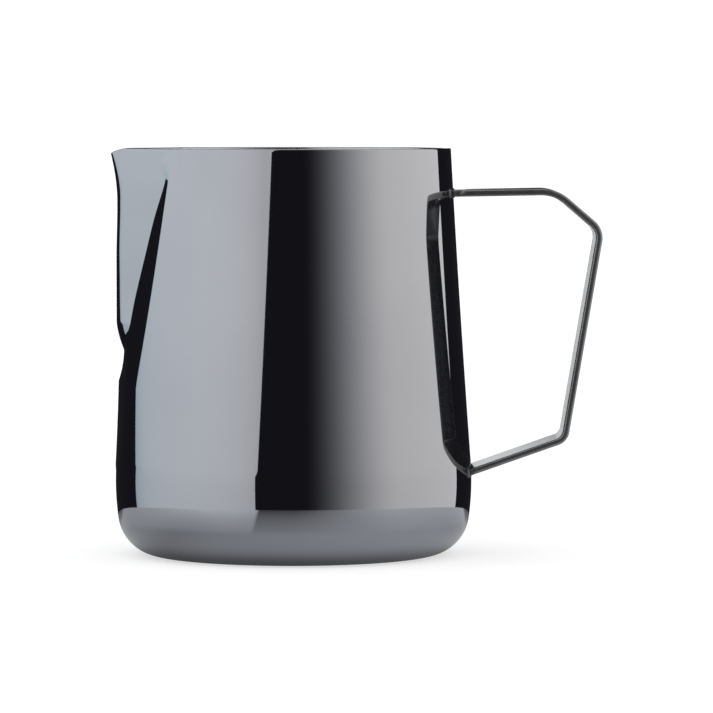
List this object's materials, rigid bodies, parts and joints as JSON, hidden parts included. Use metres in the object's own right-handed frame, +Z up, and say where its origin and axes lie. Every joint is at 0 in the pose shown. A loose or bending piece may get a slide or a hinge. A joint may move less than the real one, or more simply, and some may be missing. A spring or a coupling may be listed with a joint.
{
  "type": "milk frothing pitcher",
  "caption": "Handheld steel pitcher for steaming and pouring milk, with a pressed V spout and a bent strap handle.",
  "frame": {"origin": "the cup's axis, at the plane of the ring that it stands on", "axes": "+Z up through the open mouth, +X towards the handle, -X towards the spout"},
  "size_m": [0.1326, 0.0964, 0.11],
  "materials": {
    "mirror_black_steel": "mirror polished, with a dark grey vapour-deposited coat",
    "satin_black_steel": "satin, with the same dark grey coat",
    "weld_steel": "dressed weld bead, with the same dark grey coat"
  },
  "bodies": {
    "root": {"jug_body": "mirror_black_steel", "handle_strap": "satin_black_steel", "upper_weld": "weld_steel", "lower_weld": "weld_steel"}
  },
  "joints": []
}
